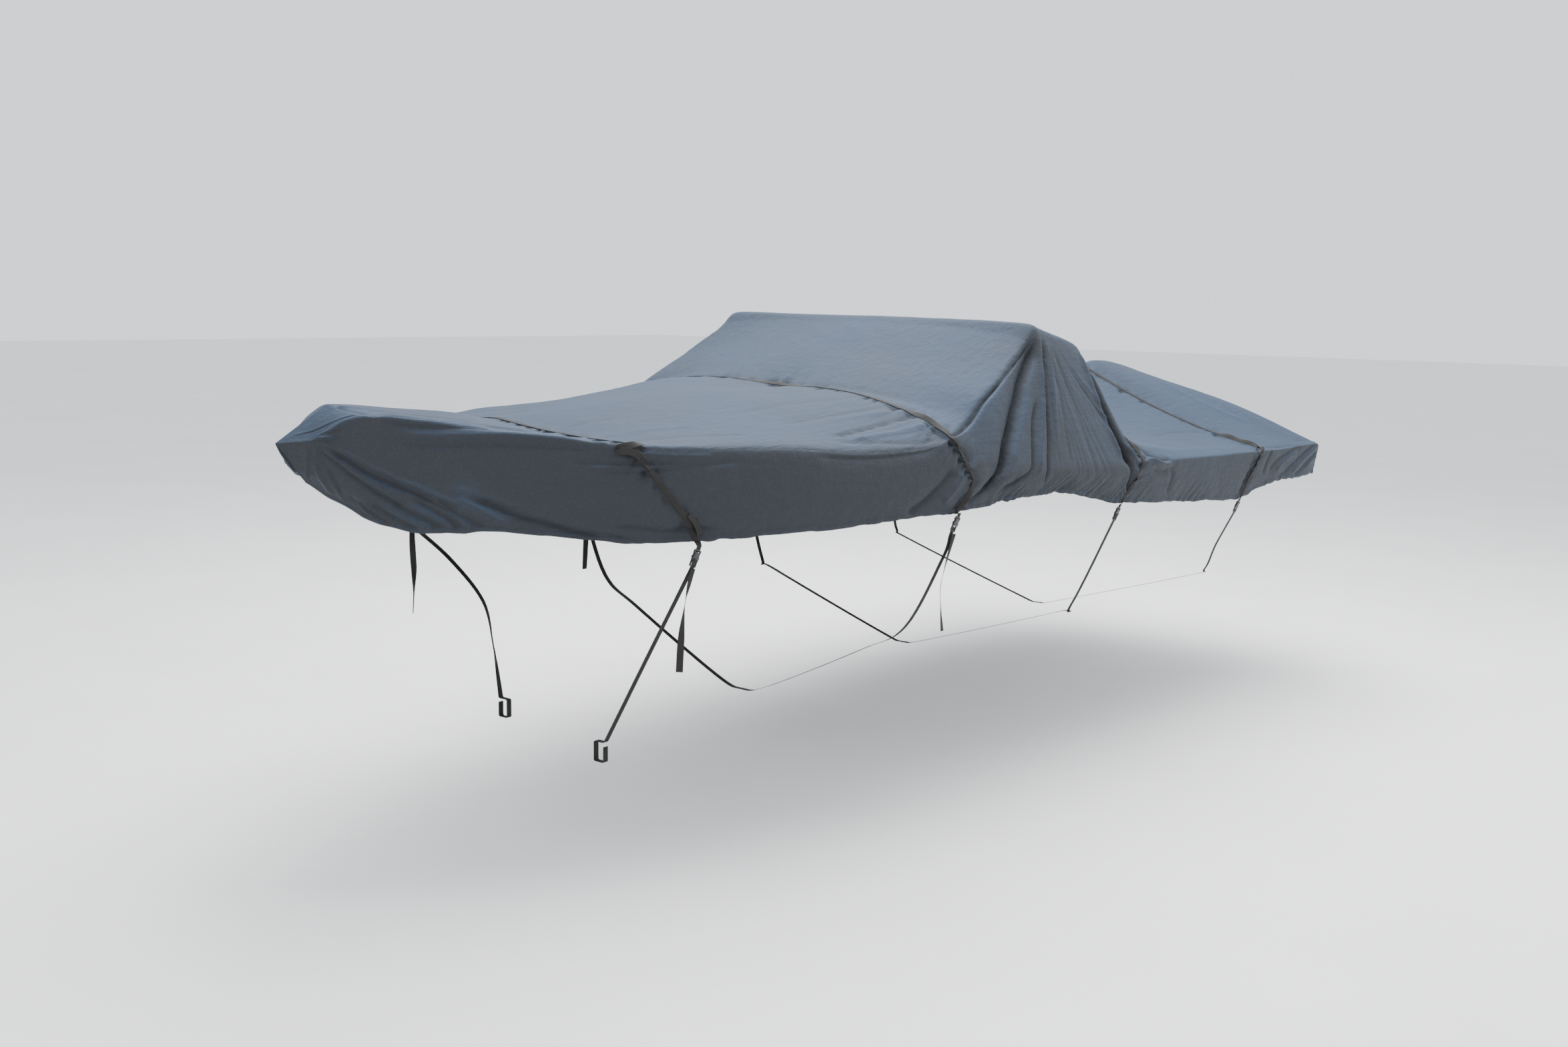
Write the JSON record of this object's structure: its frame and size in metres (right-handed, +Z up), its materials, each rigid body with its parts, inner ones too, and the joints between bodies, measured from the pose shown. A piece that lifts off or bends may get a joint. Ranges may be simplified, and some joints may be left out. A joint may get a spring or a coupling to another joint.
{
  "type": "fitted boat cover",
  "caption": "Fitted cloth cover draped over an open motor boat with a windshield, with sewn straps, side-release buckles and tie-down webbing.",
  "frame": {"origin": "underside of the cloth at the middle of the windshield's top edge, where the boat holds the cover up", "axes": "-Y towards the bow, +X to port, +Z up; the ground under the trailer is at Z = -1.982"},
  "size_m": [2.2634, 6.03, 1.6386],
  "materials": {
    "cover_cloth": "coated polyester canvas, dull, with fine creases",
    "webbing": "ribbed polypropylene webbing",
    "buckle_plastic": "satin moulded nylon"
  },
  "bodies": {
    "root": {"bow_panel": "cover_cloth", "foredeck_panel": "cover_cloth", "windshield_panel": "cover_cloth", "cockpit_panel": "cover_cloth", "stern_panel": "cover_cloth", "strap_1": "webbing", "strap_2": "webbing", "strap_3": "webbing", "strap_4": "webbing", "tie_1_port": "webbing", "tie_1_starboard": "webbing", "tie_2": "webbing", "tie_3": "webbing", "tie_4": "webbing", "tail_1_port": "webbing", "tail_1_starboard": "webbing", "tail_2_port": "webbing", "tail_2_starboard": "webbing", "buckle_1_port_socket": "buckle_plastic", "buckle_1_port_plug": "buckle_plastic", "buckle_1_starboard_socket": "buckle_plastic", "buckle_1_starboard_plug": "buckle_plastic", "buckle_2_port_socket": "buckle_plastic", "buckle_2_port_plug": "buckle_plastic", "buckle_2_starboard_socket": "buckle_plastic", "buckle_2_starboard_plug": "buckle_plastic", "buckle_3_port_socket": "buckle_plastic", "buckle_3_port_plug": "buckle_plastic", "buckle_3_starboard_socket": "buckle_plastic", "buckle_3_starboard_plug": "buckle_plastic", "buckle_4_port_socket": "buckle_plastic", "buckle_4_port_plug": "buckle_plastic", "buckle_4_starboard_socket": "buckle_plastic", "buckle_4_starboard_plug": "buckle_plastic"}
  },
  "joints": []
}
